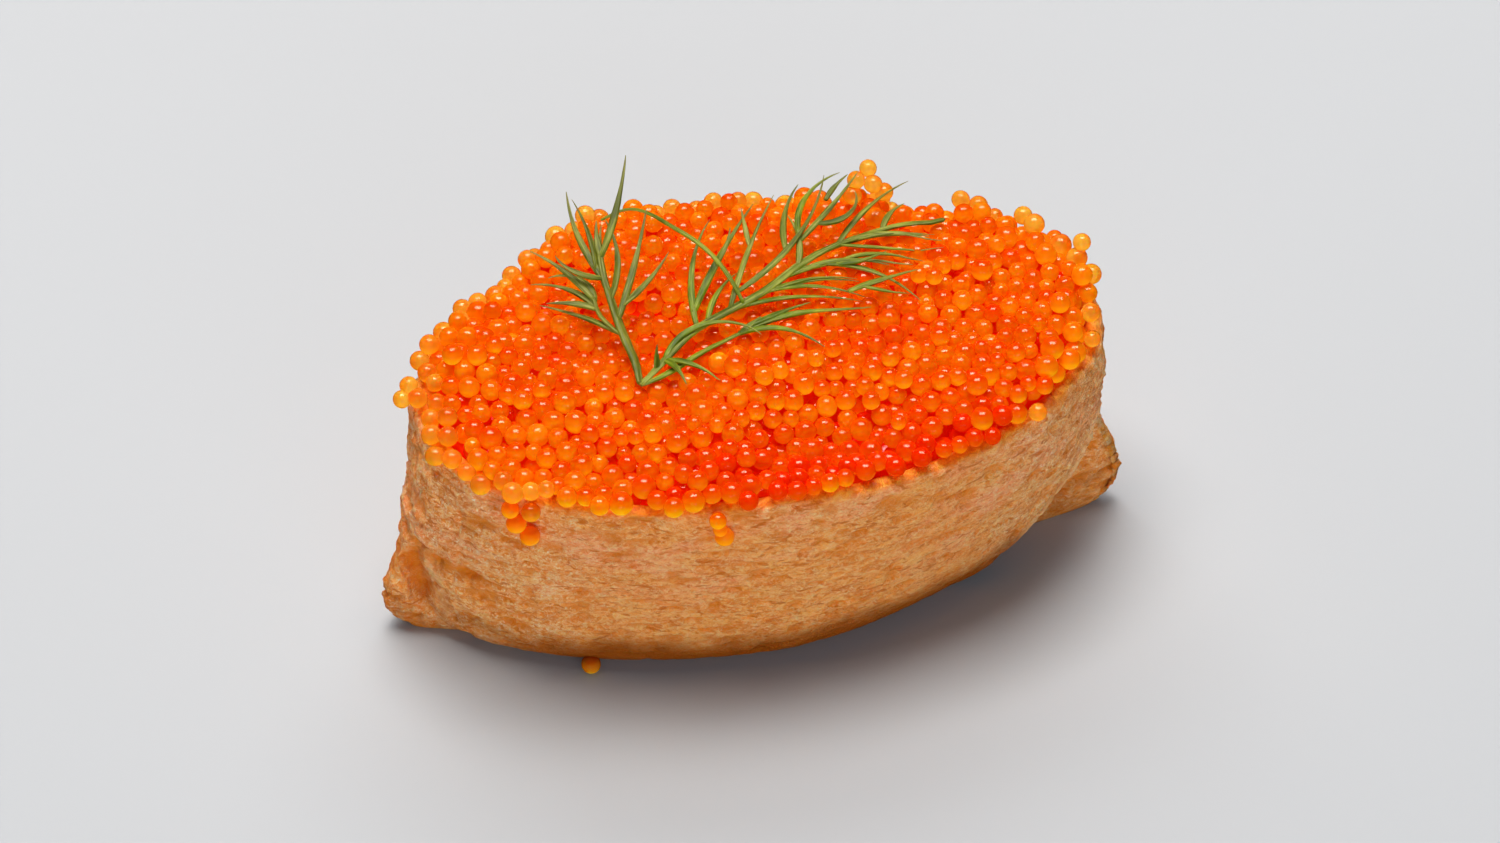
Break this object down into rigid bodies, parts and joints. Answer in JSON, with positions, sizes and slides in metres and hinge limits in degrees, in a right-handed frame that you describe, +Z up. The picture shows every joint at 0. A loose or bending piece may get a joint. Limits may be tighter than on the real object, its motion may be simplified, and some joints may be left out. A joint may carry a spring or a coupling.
{
  "type": "inari sushi with tobiko",
  "caption": "Boat-shaped fried tofu pouch with pinched corners, filled above its rim with orange flying-fish roe and topped with a sprig of dill.",
  "frame": {"origin": "centre of the bounding box on the table plane the pouch stands on", "axes": "+X along the pouch towards its right-hand pinched corner, -Y towards the viewer's side, +Z up"},
  "size_m": [0.072, 0.0384, 0.0376],
  "materials": {
    "fried_tofu": "moist golden-brown fried skin, satin, finely pitted and fibrous",
    "roe": "wet, glossy, translucent orange beads",
    "dill": "satin fresh herb"
  },
  "bodies": {
    "root": {"tofu_pouch": "fried_tofu", "tobiko": "roe", "dill_sprig": "dill"}
  },
  "joints": []
}
